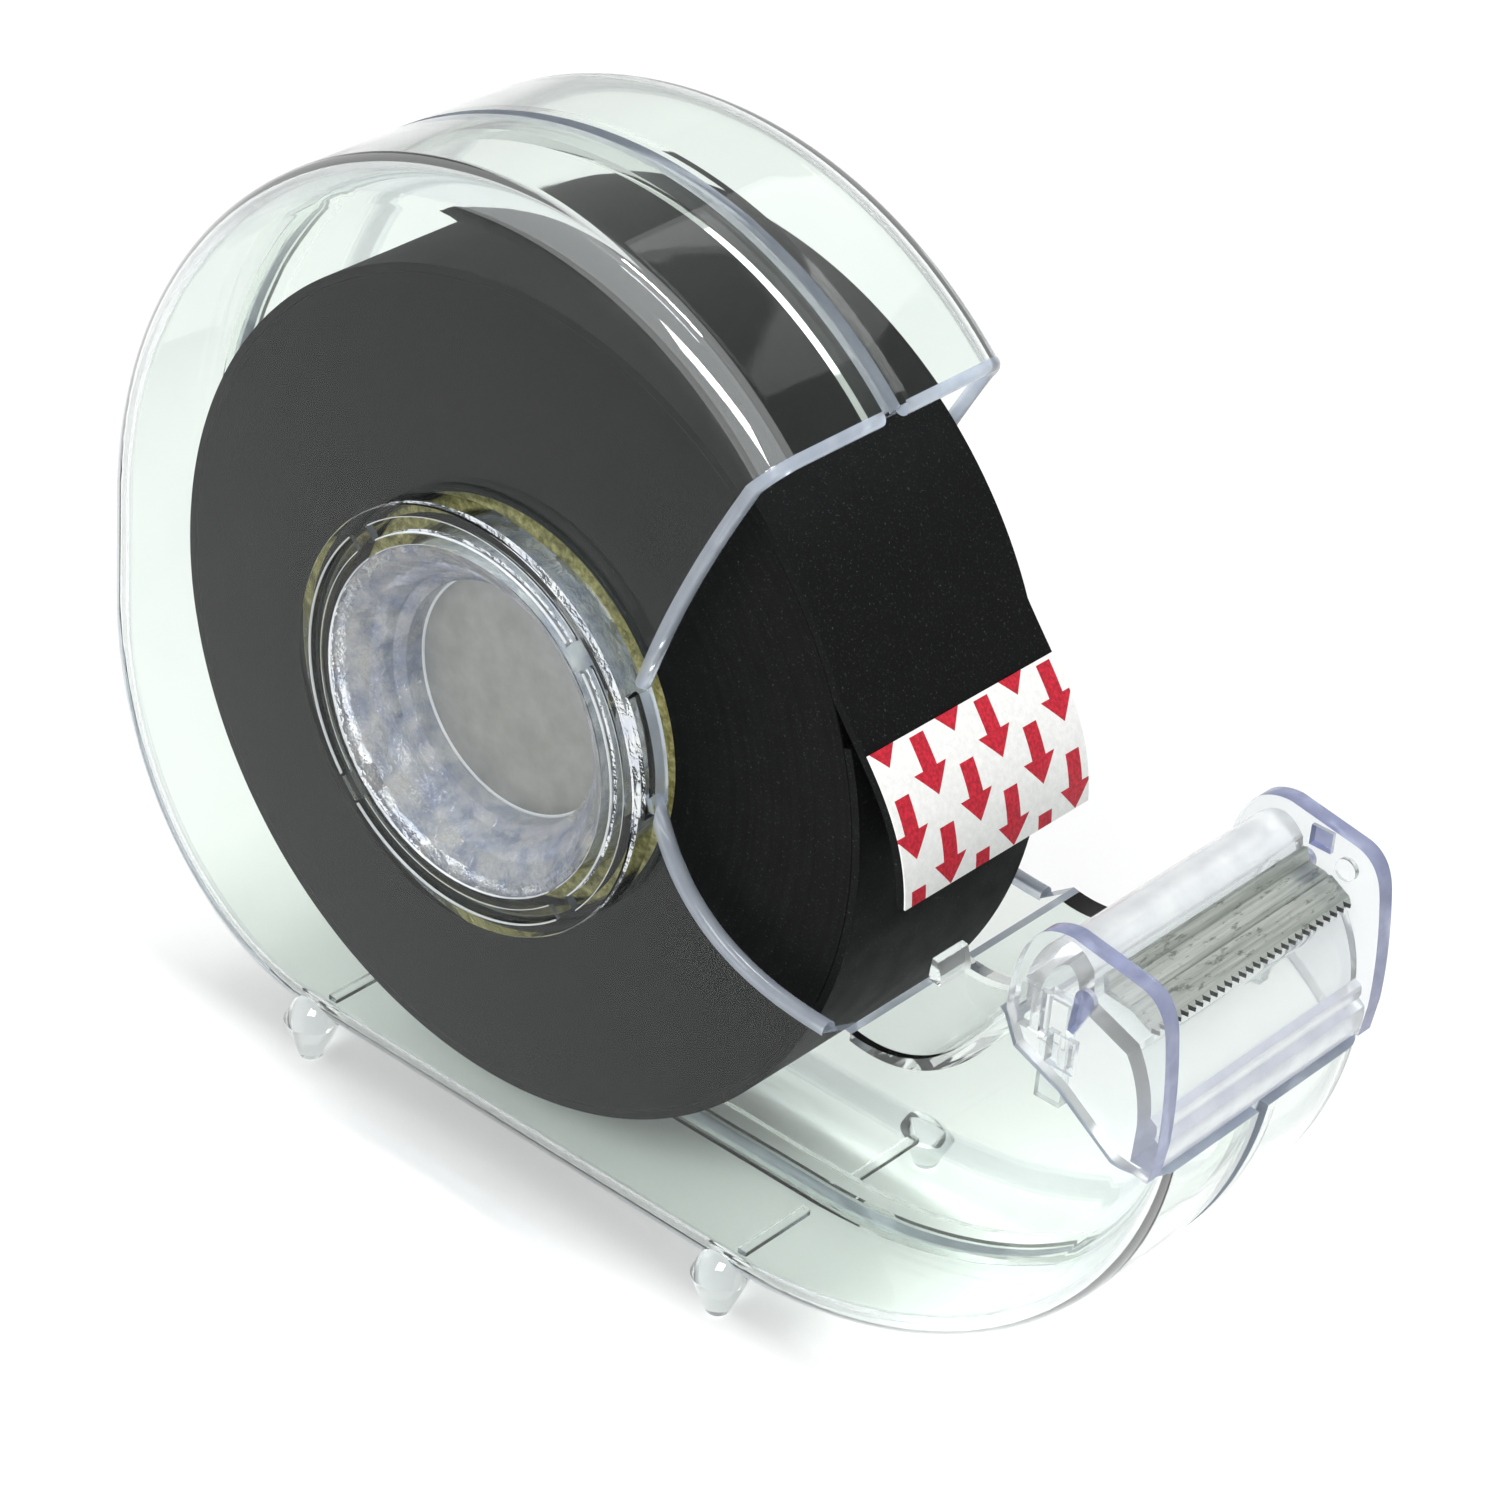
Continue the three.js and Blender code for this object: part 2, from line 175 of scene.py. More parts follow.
def body_outline(inset):
    """The silhouette of the shells, anticlockwise from the front of the top, moved inwards by inset."""
    top = TOP_Z - TOP_FRONT_CENTRE[1] - inset
    back = TOP_Z - BACK_CENTRE[1] - inset
    heel = (HEEL_CENTRE[0] - BACK_X - inset, HEEL_CENTRE[1] - FLOOR_Z - inset)
    chin = (NOSE_X - CHIN_CENTRE[0] - inset, CHIN_CENTRE[1] - FLOOR_Z - inset)
    floor_end = (CHIN_CENTRE[0], FLOOR_Z + inset)
    floor_start = (HEEL_CENTRE[0], FLOOR_Z + inset)
    floor = [tuple(a + (b - a) * t / 12 for a, b in zip(floor_start, floor_end)) for t in range(13)]
    return joined(
        arc(TOP_FRONT_CENTRE, top, top, 0.6, math.pi / 2, 48),
        arc(BACK_CENTRE, back, back, math.pi / 2, math.pi, 60),
        arc(HEEL_CENTRE, *heel, math.pi, 1.5 * math.pi, 44),
        floor,
        arc(CHIN_CENTRE, *chin, 1.5 * math.pi, 2 * math.pi, 56),
    )


def lip_point(radius):
    return (radius * math.cos(LIP_ANGLE), radius * math.sin(LIP_ANGLE))


def upper_edge():
    """The mouth's edge on a side wall, from below the lip to the hub."""
    return bezier([lip_point(LIP_INNER_RADIUS), (15.6, 16.5), MOUTH_TOP_ON_HUB], 36)


def throat_curve(drop):
    """The throat floor's line, from its rear edge up towards the nose, lowered by drop."""
    x0, z0 = THROAT_REAR
    control = [
        (x0, z0 - drop),
        (38, -9.6 - drop),
        (42.4 + drop / 2, -6.4 - drop),
        (THROAT_FRONT[0] + drop, THROAT_FRONT[1]),
    ]
    return bezier(control, 28)


def mouth_outline():
    """What is cut from the shells in front: the mouth, and the place of the nose head."""
    split = [(45.2, -0.7), (46.2, -2.7), (50, -4.2), (54.5, -7.2), (58.4, -7.5)]
    hub_top = math.atan2(MOUTH_TOP_ON_HUB[1], MOUTH_TOP_ON_HUB[0])
    hub_low = math.atan2(MOUTH_LOW_ON_HUB[1], MOUTH_LOW_ON_HUB[0])
    return joined(
        [lip_point(PAST_TOP)],
        upper_edge(),
        arc((0, 0), HUB_RADIUS, HUB_RADIUS, hub_top, hub_low, 16),
        bezier([MOUTH_LOW_ON_HUB, (17.5, -6.5), (22.5, -9.8), MOUTH_REAR_END], 36),
        [THROAT_REAR],
        throat_curve(0),
        split,
        [(PAST_NOSE, -7.5), (PAST_NOSE, PAST_TOP)],
    )


# ---- Materials ----

def material(name):
    mat = bpy.data.materials.new(name)
    mat.use_nodes = True
    tree = mat.node_tree
    return mat, tree, tree.nodes["Principled BSDF"]


def link(tree, source, target):
    """Joins two sockets, or sets the target to a plain number."""
    if isinstance(source, (int, float)):
        target.default_value = source
    else:
        tree.links.new(source, target)


def math_node(tree, operation, a, b=0.0):
    made = tree.nodes.new("ShaderNodeMath")
    made.operation = operation
    link(tree, a, made.inputs[0])
    link(tree, b, made.inputs[1])
    return made.outputs[0]


def object_point(tree, scale=(1, 1, 1)):
    """The point on the piece in millimetres about the hub axis, stretched by scale."""
    coordinates = tree.nodes.new("ShaderNodeTexCoord")
    mapping = tree.nodes.new("ShaderNodeMapping")
    mapping.inputs["Location"].default_value = [-h / MM * k for h, k in zip(HUB, scale)]
    mapping.inputs["Scale"].default_value = [k / MM for k in scale]
    tree.links.new(coordinates.outputs["Object"], mapping.inputs["Vector"])
    return mapping.outputs["Vector"]


def noise(tree, vector, scale, detail=2.0, roughness=0.5):
    made = tree.nodes.new("ShaderNodeTexNoise")
    made.inputs["Scale"].default_value = scale
    made.inputs["Detail"].default_value = detail
    made.inputs["Roughness"].default_value = roughness
    tree.links.new(vector, made.inputs["Vector"])
    return made.outputs["Fac"]


def ramp(tree, factor, *stops):
    """Colours by position, given as (position, (r, g, b))."""
    made = tree.nodes.new("ShaderNodeValToRGB")
    elements = made.color_ramp.elements
    while len(elements) < len(stops):
        elements.new(0.5)
    for element, (position, color) in zip(elements, stops):
        element.position = position
        element.color = (*color, 1)
    tree.links.new(factor, made.inputs["Fac"])
    return made.outputs["Color"]


def spread(tree, factor, low, high):
    """Carries 0..1 to low..high."""
    made = tree.nodes.new("ShaderNodeMapRange")
    made.inputs["To Min"].default_value = low
    made.inputs["To Max"].default_value = high
    tree.links.new(factor, made.inputs["Value"])
    return made.outputs["Result"]


def bump(tree, shader, height, strength, depth):
    """Relief of the given depth in millimetres."""
    made = tree.nodes.new("ShaderNodeBump")
    made.inputs["Strength"].default_value = strength
    made.inputs["Distance"].default_value = depth * MM
    tree.links.new(height, made.inputs["Height"])
    tree.links.new(made.outputs["Normal"], shader.inputs["Normal"])


def mixed(tree, factor, first, second):
    made = tree.nodes.new("ShaderNodeMix")
    made.data_type = "RGBA"
    for source, socket in ((factor, "Factor_Float"), (first, "A_Color"), (second, "B_Color")):
        target = next(i for i in made.inputs if i.identifier == socket)
        if isinstance(source, tuple):
            target.default_value = (*source, 1)
        else:
            tree.links.new(source, target)
    return next(o for o in made.outputs if o.identifier == "Result_Color")


def let_lamps_through(tree, shader, tint):
    """Clear plastic casts only a faint shadow: rays from lamps pass each surface with this tint."""
    path = tree.nodes.new("ShaderNodeLightPath")
    passing = tree.nodes.new("ShaderNodeBsdfTransparent")
    passing.inputs["Color"].default_value = (*tint, 1)
    mix = tree.nodes.new("ShaderNodeMixShader")
    tree.links.new(path.outputs["Is Shadow Ray"], mix.inputs[0])
    tree.links.new(shader.outputs["BSDF"], mix.inputs[1])
    tree.links.new(passing.outputs["BSDF"], mix.inputs[2])
    tree.links.new(mix.outputs["Shader"], tree.nodes["Material Output"].inputs["Surface"])


def clear_plastic(name, dense, thin, roughness, clearness):
    """Moulded polystyrene: faint cloudiness in its tint and slow waves left by the mould."""
    mat, tree, shader = material(name)
    point = object_point(tree)
    shader.inputs["Transmission Weight"].default_value = clearness
    shader.inputs["IOR"].default_value = POLYSTYRENE_IOR
    shader.inputs["Specular Tint"].default_value = (0.03, 0.03, 0.03, 1)
    tint = ramp(tree, noise(tree, point, 0.09, 3), (0.3, dense), (0.7, thin))
    tree.links.new(tint, shader.inputs["Base Color"])
    gloss = spread(tree, noise(tree, point, 0.7, 4), *roughness)
    tree.links.new(gloss, shader.inputs["Roughness"])
    bump(tree, shader, noise(tree, point, 0.13, 1), 0.2, 0.1)
    let_lamps_through(tree, shader, (0.93, 0.94, 0.935))
    return mat


def add_coat(mat, ior):
    """A glossier outside, which catches the light along rounded corners."""
    shader = mat.node_tree.nodes["Principled BSDF"]
    shader.inputs["Coat Weight"].default_value = 1
    shader.inputs["Coat IOR"].default_value = ior


def cut_edge(name, dense, thin, clearness):
    """The faces that cut through the plastic's thickness, where it is seen lengthwise and looks deeper. On
    the shells' and nose's cut edges its tinted diffuse share is painted shade and reflection; the same recipe
    makes the nose's painted sheen, the hoops' painted glint, the web's painted shade and the dark hub pads.
    """
    mat, tree, shader = material(name)
    point = object_point(tree)
    shader.inputs["Transmission Weight"].default_value = clearness
    shader.inputs["IOR"].default_value = POLYSTYRENE_IOR
    tint = ramp(tree, noise(tree, point, 0.5, 3), (0.3, dense), (0.7, thin))
    tree.links.new(tint, shader.inputs["Base Color"])
    gloss = spread(tree, noise(tree, point, 1.3, 4), 0.12, 0.3)
    tree.links.new(gloss, shader.inputs["Roughness"])
    bump(tree, shader, noise(tree, point, 1.1, 2), 0.3, 0.05)
    let_lamps_through(tree, shader, (0.86, 0.87, 0.88))
    return mat


def rippled_plastic(name, dense, thin):
    """The steep wall of the hub's funnel, whose uneven moulding breaks up what is seen through it."""
    mat, tree, shader = material(name)
    point = object_point(tree)
    shader.inputs["Transmission Weight"].default_value = 0.8
    shader.inputs["IOR"].default_value = POLYSTYRENE_IOR
    facets = tree.nodes.new("ShaderNodeTexVoronoi")
    facets.inputs["Scale"].default_value = 0.42
    tree.links.new(point, facets.inputs["Vector"])
    cloud = noise(tree, point, 0.5, 4, 0.65)
    tree.links.new(ramp(tree, cloud, (0.35, dense), (0.6, thin)), shader.inputs["Base Color"])
    tree.links.new(spread(tree, cloud, 0.02, 0.15), shader.inputs["Roughness"])
    bump(tree, shader, math_node(tree, "ADD", facets.outputs["Distance"], cloud), 0.9, 0.7)
    let_lamps_through(tree, shader, (0.9, 0.92, 0.94))
    return mat


def magnetic_tape(name, windings):
    """Ferrite filled rubber: black with fine bright grains, and on the roll's sides a line for each turn."""
    mat, tree, shader = material(name)
    point = object_point(tree)
    grain = noise(tree, point, 5.5, 2, 0.7)
    speckled = ramp(tree, grain, (0.55, (0.002, 0.0024, 0.0024)), (0.66, (0.008, 0.0095, 0.0095)),
                    (0.8, (0.07, 0.08, 0.08)))
    shader.inputs["Specular IOR Level"].default_value = 0.12
    rough = spread(tree, noise(tree, point, 0.4, 3), 0.55, 0.75)
    tree.links.new(rough, shader.inputs["Roughness"])
    if not windings:
        tree.links.new(speckled, shader.inputs["Base Color"])
        bump(tree, shader, grain, 0.4, 0.02)
        return mat
    flat = tree.nodes.new("ShaderNodeVectorMath")
    flat.operation = "MULTIPLY"
    flat.inputs[1].default_value = (1, 0, 1)
    tree.links.new(point, flat.inputs[0])
    radius = tree.nodes.new("ShaderNodeVectorMath")
    radius.operation = "LENGTH"
    tree.links.new(flat.outputs[0], radius.inputs[0])
    turns = tree.nodes.new("ShaderNodeTexNoise")
    turns.noise_dimensions = "1D"
    turns.inputs["Scale"].default_value = 1 / TAPE_THICKNESS
    turns.inputs["Detail"].default_value = 3
    tree.links.new(radius.outputs["Value"], turns.inputs["W"])
    shade = ramp(tree, turns.outputs["Fac"], (0.35, (0.45, 0.47, 0.47)), (0.65, (1, 1, 1)))
    color = tree.nodes.new("ShaderNodeVectorMath")
    color.operation = "MULTIPLY"
    tree.links.new(speckled, color.inputs[0])
    tree.links.new(shade, color.inputs[1])
    tree.links.new(color.outputs[0], shader.inputs["Base Color"])
    bump(tree, shader, math_node(tree, "ADD", grain, turns.outputs["Fac"]), 0.12, 0.02)
    return mat


def core_board(name):
    """Grey-brown cardboard with coarse fibres."""
    mat, tree, shader = material(name)
    point = object_point(tree)
    fibre = noise(tree, point, 1.6, 8, 0.75)
    color = ramp(tree, fibre, (0.35, (0.07, 0.065, 0.018)), (0.5, (0.24, 0.22, 0.08)),
                 (0.68, (0.5, 0.46, 0.22)))
    tree.links.new(color, shader.inputs["Base Color"])
    shader.inputs["Roughness"].default_value = 0.9
    shader.inputs["Specular IOR Level"].default_value = 0.2
    bump(tree, shader, fibre, 0.8, 0.25)
    return mat


def rolled_steel(name, dark_metal, bright_metal):
    """Strip with rolling marks along its length and a few dark scuffs."""
    mat, tree, shader = material(name)
    streaks = noise(tree, object_point(tree, (3, 0.09, 3)), 1.0, 5, 0.7)
    scuffs = noise(tree, object_point(tree, (2, 0.7, 2)), 1.0, 4, 0.7)
    shader.inputs["Metallic"].default_value = 1
    base = ramp(tree, streaks, (0.3, dark_metal), (0.62, bright_metal))
    dark = ramp(tree, scuffs, (0.56, (0, 0, 0)), (0.66, (1, 1, 1)))
    scuffed = mixed(tree, math_node(tree, "MULTIPLY", dark, 0.55), base, (0.06, 0.062, 0.056))
    tree.links.new(scuffed, shader.inputs["Base Color"])
    tree.links.new(spread(tree, streaks, 0.22, 0.5), shader.inputs["Roughness"])
    bump(tree, shader, streaks, 0.5, 0.04)
    return mat


# The printed arrows, in millimetres: the lattice's two pitches, the middle of the first arrow, and one
# arrow's shaft, head and length. NECK is where the head begins, past the arrow's middle.
ARROW_ACROSS = 6.5
ARROW_ALONG = 6.1
FIRST_ARROW = (2.33, 4.6)
SHAFT_HALF_WIDTH = 0.7
HEAD_HALF_WIDTH = 1.6
ARROW_HALF_LENGTH = 2.05
NECK = 0.25


def arrow_mask(tree, along, across, start):
    """1 inside the arrows of one lattice. An arrow points along, and start is the middle of one of them."""
    def local(value, middle, pitch):
        shifted = math_node(tree, "SUBTRACT", value, middle - pitch / 2)
        wrapped = math_node(tree, "FLOORED_MODULO", shifted, pitch)
        return math_node(tree, "SUBTRACT", wrapped, pitch / 2)

    u = local(along, start[0], ARROW_ALONG)
    v = math_node(tree, "ABSOLUTE", local(across, start[1], ARROW_ACROSS))
    in_shaft = math_node(tree, "LESS_THAN", v, SHAFT_HALF_WIDTH)
    after_tail = math_node(tree, "GREATER_THAN", u, -ARROW_HALF_LENGTH)
    before_neck = math_node(tree, "LESS_THAN", u, NECK + 0.05)
    shaft = math_node(tree, "MULTIPLY", math_node(tree, "MULTIPLY", in_shaft, after_tail), before_neck)
    to_tip = math_node(tree, "SUBTRACT", ARROW_HALF_LENGTH, u)
    slope = math_node(tree, "MULTIPLY", to_tip, HEAD_HALF_WIDTH / (ARROW_HALF_LENGTH - NECK))
    in_head = math_node(tree, "LESS_THAN", v, slope)
    past_neck = math_node(tree, "GREATER_THAN", u, NECK)
    head = math_node(tree, "MULTIPLY", in_head, past_neck)
    return math_node(tree, "MAXIMUM", shaft, head)


def printed_liner(name):
    """White release paper with two staggered lattices of plain red arrows. The UV map is in millimetres."""
    mat, tree, shader = material(name)
    sheet = tree.nodes.new("ShaderNodeUVMap")
    sheet.uv_map = "sheet"
    parts = tree.nodes.new("ShaderNodeSeparateXYZ")
    tree.links.new(sheet.outputs["UV"], parts.inputs[0])
    along = parts.outputs["X"]
    across = parts.outputs["Y"]
    staggered = (FIRST_ARROW[0] + ARROW_ALONG / 2, FIRST_ARROW[1] - ARROW_ACROSS / 2)
    mask = math_node(
        tree, "MAXIMUM",
        arrow_mask(tree, along, across, FIRST_ARROW),
        arrow_mask(tree, along, across, staggered),
    )
    point = object_point(tree)
    fibre = noise(tree, point, 2.2, 6, 0.7)
    paper = ramp(tree, fibre, (0.3, (0.76, 0.765, 0.74)), (0.7, (0.9, 0.9, 0.88)))
    ink = ramp(tree, noise(tree, point, 4.0, 3), (0.35, (0.35, 0.004, 0.018)), (0.65, (0.62, 0.012, 0.035)))
    tree.links.new(mixed(tree, mask, paper, ink), shader.inputs["Base Color"])
    shader.inputs["Roughness"].default_value = 0.55
    shader.inputs["Specular IOR Level"].default_value = 0.35
    bump(tree, shader, fibre, 0.25, 0.03)
    return mat


def studio_white(name):
    mat, tree, shader = material(name)
    shader.inputs["Base Color"].default_value = (0.9, 0.9, 0.9, 1)
    shader.inputs["Roughness"].default_value = 0.8
    shader.inputs["Specular IOR Level"].default_value = 0.2
    return mat


CLEAR = clear_plastic("clear_shell_plastic", (0.86, 0.90, 0.875), (0.89, 0.925, 0.90), (0.01, 0.03), 0.998)
# The bends' copy of the clear plastic has a darker tint and is less clear: painted shade and a painted pale
# sheen along the rounded corners.
BEND = clear_plastic("clear_shell_bends_painted_sheen", (0.80, 0.85, 0.85), (0.86, 0.90, 0.90), (0.02, 0.06), 0.93)
CLEAR_NOSE = clear_plastic("clear_nose_plastic", (0.87, 0.895, 0.90), (0.91, 0.93, 0.935), (0.03, 0.09), 0.86)
add_coat(BEND, 2.0)
# The cut-edge colours are painted shade and reflection. The bluish grey on the shells' cut edges, seam and
# mouth beads, and the dark blue-violet on the nose's rims, stand in for the light that plastic seen edgewise
# refracts.
RIM = cut_edge("shell_cut_edge", (0.50, 0.56, 0.66), (0.62, 0.68, 0.76), 0.6)
NOSE_RIM = cut_edge("nose_cut_edge", (0.20, 0.23, 0.40), (0.34, 0.37, 0.56), 0.45)
# Pale, half-clear plastic for the nose's hump and lower bridge: a painted sheen for the broad highlight they
# catch.
PAINTED_SHEEN = cut_edge("nose_painted_sheen", (0.80, 0.83, 0.86), (0.93, 0.95, 0.96), 0.6)
TAPE_SIDE = magnetic_tape("tape_edges_wound", True)
TAPE_FACE = magnetic_tape("tape_back", False)
FUNNEL = rippled_plastic("hub_funnel_plastic", (0.50, 0.56, 0.74), (0.97, 0.98, 1.0))
PAD = cut_edge("hub_pad_plastic", (0.03, 0.033, 0.035), (0.09, 0.095, 0.1), 0.05)
GLINT = cut_edge("moulded_edge_glint", (0.80, 0.84, 0.86), (0.93, 0.95, 0.96), 0.45)
# The web's flat grey is painted shade: it stands in for the shaded backdrop seen through the hub's middle.
WEB = cut_edge("hub_web_painted_shade", (0.27, 0.28, 0.27), (0.34, 0.35, 0.34), 0.3)
CORE = core_board("core_cardboard")
STEEL = rolled_steel("blade_steel_strip", (0.30, 0.33, 0.305), (0.56, 0.59, 0.55))
CUT_STEEL = rolled_steel("blade_cut_teeth", (0.02, 0.022, 0.022), (0.10, 0.11, 0.105))
PAPER = printed_liner("liner_printed_paper")


# ---- Solids ----

def new_object(name, verts, faces):
    mesh = bpy.data.meshes.new(name)
    mesh.from_pydata(verts, [], faces)
    work = bmesh.new()
    work.from_mesh(mesh)
    bmesh.ops.remove_doubles(work, verts=work.verts, dist=1e-5)
    bmesh.ops.recalc_face_normals(work, faces=work.faces)
    work.to_mesh(mesh)
    work.free()
    obj = bpy.data.objects.new(name, mesh)
    bpy.context.scene.collection.objects.link(obj)
    return obj


def loft(name, rings):
    """A closed solid through rings of the same number of (x, y, z) points, capped at both ends."""
    count = len(rings[0])
    verts = [p for ring in rings for p in ring]
    faces = []
    for r in range(len(rings) - 1):
        for i in range(count):
            a = r * count + i
            b = r * count + (i + 1) % count
            faces.append((a, b, b + count, a + count))
    faces.append(tuple(range(count)))
    last = (len(rings) - 1) * count
    faces.append(tuple(reversed(range(last, last + count))))
    return new_object(name, verts, faces)


def prism(name, outline, y_from, y_to):
    return loft(name, [[(x, y, z) for x, z in outline] for y in (y_from, y_to)])


def soft_prism(name, outline_at, half_width, radius):
    """A solid across the width whose long edges are rounded. outline_at(inset) gives its outline."""
    steps = 10
    rings = []
    for side in (-1, 1):
        turn = []
        for i in range(steps + 1):
            a = math.pi / 2 * i / steps
            inset = radius * (1 - math.cos(a))
            y = side * (half_width - radius + radius * math.sin(a))
            turn.append([(x, y, z) for x, z in outline_at(inset)])
        rings += turn[::-1] if side < 0 else turn
    return loft(name, rings)


def lathe(name, profile, segments=144):
    """A closed (radius, y) profile turned about the hub axis."""
    count = len(profile)
    verts = []
    faces = []
    for s in range(segments):
        a = 2 * math.pi * s / segments
        verts += [(r * math.cos(a), y, r * math.sin(a)) for r, y in profile]
    for s in range(segments):
        after = (s + 1) % segments
        for i in range(count):
            j = (i + 1) % count
            faces.append((s * count + i, s * count + j, after * count + j, after * count + i))
    return new_object(name, verts, faces)


def disc(name, radius, y_from, y_to):
    """A solid round plate about the hub axis."""
    segments = 144
    last = 2 * math.pi * (segments - 1) / segments
    return prism(name, arc((0, 0), radius, radius, 0, last, segments - 1), *sorted((y_from, y_to)))


def block(name, x, y, z):
    ys = sorted(y)
    outline = [(x[0], z[0]), (x[1], z[0]), (x[1], z[1]), (x[0], z[1])]
    return prism(name, outline, ys[0], ys[1])


def combine(base, operation, *tools):
    """Boolean of base with each tool in turn. The tools are used up."""
    for tool in tools:
        cut = base.modifiers.new("cut", "BOOLEAN")
        cut.operation = operation
        cut.solver = "MANIFOLD"
        cut.material_mode = "TRANSFER"
        cut.object = tool
    bake_modifiers(base)
    for tool in tools:
        bpy.data.objects.remove(tool)
    return base


def bake_modifiers(obj):
    depsgraph = bpy.context.evaluated_depsgraph_get()
    mesh = bpy.data.meshes.new_from_object(obj.evaluated_get(depsgraph))
    obj.modifiers.clear()
    obj.data = mesh


def clean_faces(obj):
    """Joins the flat faces that the booleans split, and drops what they left without area."""
    work = bmesh.new()
    work.from_mesh(obj.data)
    bmesh.ops.remove_doubles(work, verts=work.verts, dist=0.004)
    bmesh.ops.dissolve_degenerate(work, dist=0.004, edges=work.edges)
    bmesh.ops.dissolve_limit(
        work, angle_limit=math.radians(0.4), verts=work.verts, edges=work.edges, delimit={"NORMAL"}
    )
    work.to_mesh(obj.data)
    work.free()


def round_edges(obj, width):
    bevel = obj.modifiers.new("bevel", "BEVEL")
    bevel.width = width
    bevel.segments = 3
    bevel.limit_method = "ANGLE"
    bevel.angle_limit = math.radians(38)
    bevel.use_clamp_overlap = True
    bake_modifiers(obj)


def smooth(obj, sharp_angle=40):
    """Smooth shading, with edges kept sharp where the faces turn by more than the angle in degrees."""
    work = bmesh.new()
    work.from_mesh(obj.data)
    for face in work.faces:
        face.smooth = True
    for edge in work.edges:
        if len(edge.link_faces) == 2:
            edge.smooth = edge.calc_face_angle(0) < math.radians(sharp_angle)
    work.to_mesh(obj.data)
    work.free()
    weighted = obj.modifiers.new("weighted", "WEIGHTED_NORMAL")
    weighted.keep_sharp = True
    weighted.weight = 80


def dress(obj, mat):
    obj.data.materials.append(mat)
    return obj


def place(obj):
    """From millimetres about the hub axis to metres in the row frame."""
    obj.data.transform(Matrix.Translation(HUB) @ Matrix.Scale(MM, 4))
    return obj


# ---- Half-shells ----

FOOT_X = (-15.7, 24.3)
FOOT_Y = 11.6
# The foot's sections from the tip up: height, radius, and how far the middle stands out from FOOT_Y.
FOOT_SECTIONS = (
    (FOOT_Z, 0.9, 0.0),
    (-35.6, 1.6, 0.0),
    (-34.2, 2.1, 0.0),
    (-33.0, 1.7, -0.35),
    (-31.9, 0.7, -0.8),
)


def foot(x, side):
    """A small blunt cone under the floor, with a gusset that runs up the side wall."""
    rings = []
    for z, radius, shift in FOOT_SECTIONS:
        ring = []
        for i in range(28):
            a = 2 * math.pi * i / 28
            ring.append((x + radius * math.cos(a), side * (FOOT_Y + shift) + radius * math.sin(a), z))
        rings.append(ring)
    return loft("foot", rings)


def hub(side):
    """The tube that carries the core, under a round plate with a skirt, and a funnel down to a closed web."""
    groove = HUB_FACE - GROOVE_DEPTH
    profile = [
        (HUB_TUBE_INNER, HUB_TUBE_END),
        (HUB_TUBE_OUTER, HUB_TUBE_END),
        (HUB_TUBE_OUTER, HUB_BACK),
        (SKIRT_INNER, HUB_BACK),
        (SKIRT_INNER, CAVITY_HALF_WIDTH),
        (HUB_RADIUS, CAVITY_HALF_WIDTH),
        (HUB_RADIUS, HUB_FACE - 0.1),
        (HUB_RADIUS - 0.1, HUB_FACE),
        (GROOVE_OUTER, HUB_FACE),
        (GROOVE_OUTER - GROOVE_DRAFT, groove),
        (GROOVE_INNER + GROOVE_DRAFT, groove),
        (GROOVE_INNER, HUB_FACE),
        (CORE_INNER_RADIUS, HUB_FACE),
    ]
    profile += bezier([(12.6, 13.9), (11.6, 13.3), (9.9, 12.6), (9.7, 11.0)], 12)
    profile += [
        (WEB_RADIUS, WEB_FACE + 1.6),
        (WEB_RADIUS, WEB_BACK),
        (WEB_RADIUS + 0.9, WEB_BACK),
        (10.5, 11.0),
        (HUB_TUBE_INNER, 11.8),
    ]
    ring = dress(lathe("hub", [(r, side * y) for r, y in profile]), CLEAR)
    ring.data.materials.append(FUNNEL)
    for face in ring.data.polygons:
        x, y, z = face.center
        face.material_index = 1 if math.hypot(x, z) < 12.7 and abs(y) > WEB_FACE else 0
    # The skirt is open where it crosses the mouth.
    window = block("window", (13, 17), (side * (CAVITY_HALF_WIDTH - 1), side * HUB_BACK), (-0.6, 7.8))
    combine(ring, "DIFFERENCE", dress(window, CLEAR))
    # The closed web is a grey sheet of painted shade across the hub's middle, with a glint hoop at its edge.
    rim = WEB_RADIUS + 0.4
    web = dress(disc("web", rim, side * WEB_BACK, side * WEB_FACE), WEB)
    combine(ring, "UNION", web, hoop(WEB_RADIUS - 0.05, side * WEB_FACE, 0.13))
    hoops = [hoop(r, side * (HUB_FACE - 0.13), 0.12) for r in (15.42, 14.72, 13.48, 12.78)]
    pads = []
    for degrees in PAD_DEGREES:
        turn = Matrix.Rotation(math.radians(degrees), 4, "Y")
        for hoop_piece in hoops:
            clearing = pad_block("clearing", side, 0.16)
            clearing.data.transform(turn)
            combine(hoop_piece, "DIFFERENCE", clearing)
        pad = pad_block("pad", side, 0)
        pad.data.transform(turn)
        pads.append(pad)
    return combine(ring, "UNION", *pads, *hoops)


def hoop(radius, y, thickness):
    """A thin raised ring, round in section."""
    section = [(radius + thickness * math.cos(a), y + thickness * math.sin(a))
               for a in (2 * math.pi * k / 8 for k in range(8))]
    return dress(lathe("hoop", section), GLINT)


def pad_block(name, side, margin):
    """A flat oval pad that bridges the hub's ring groove. A margin makes it larger, to clear room for it."""
    middle = 14.1
    reach = 1.35 + margin
    half_width = 1.35 * (0.75 + margin)
    outline = [(middle + reach * math.cos(a), half_width * math.sin(a))
               for a in (2 * math.pi * k / 20 for k in range(20))]
    ends = sorted((side * (HUB_FACE - 0.9), side * (HUB_FACE + margin)))
    return dress(prism(name, outline, *ends), PAD)


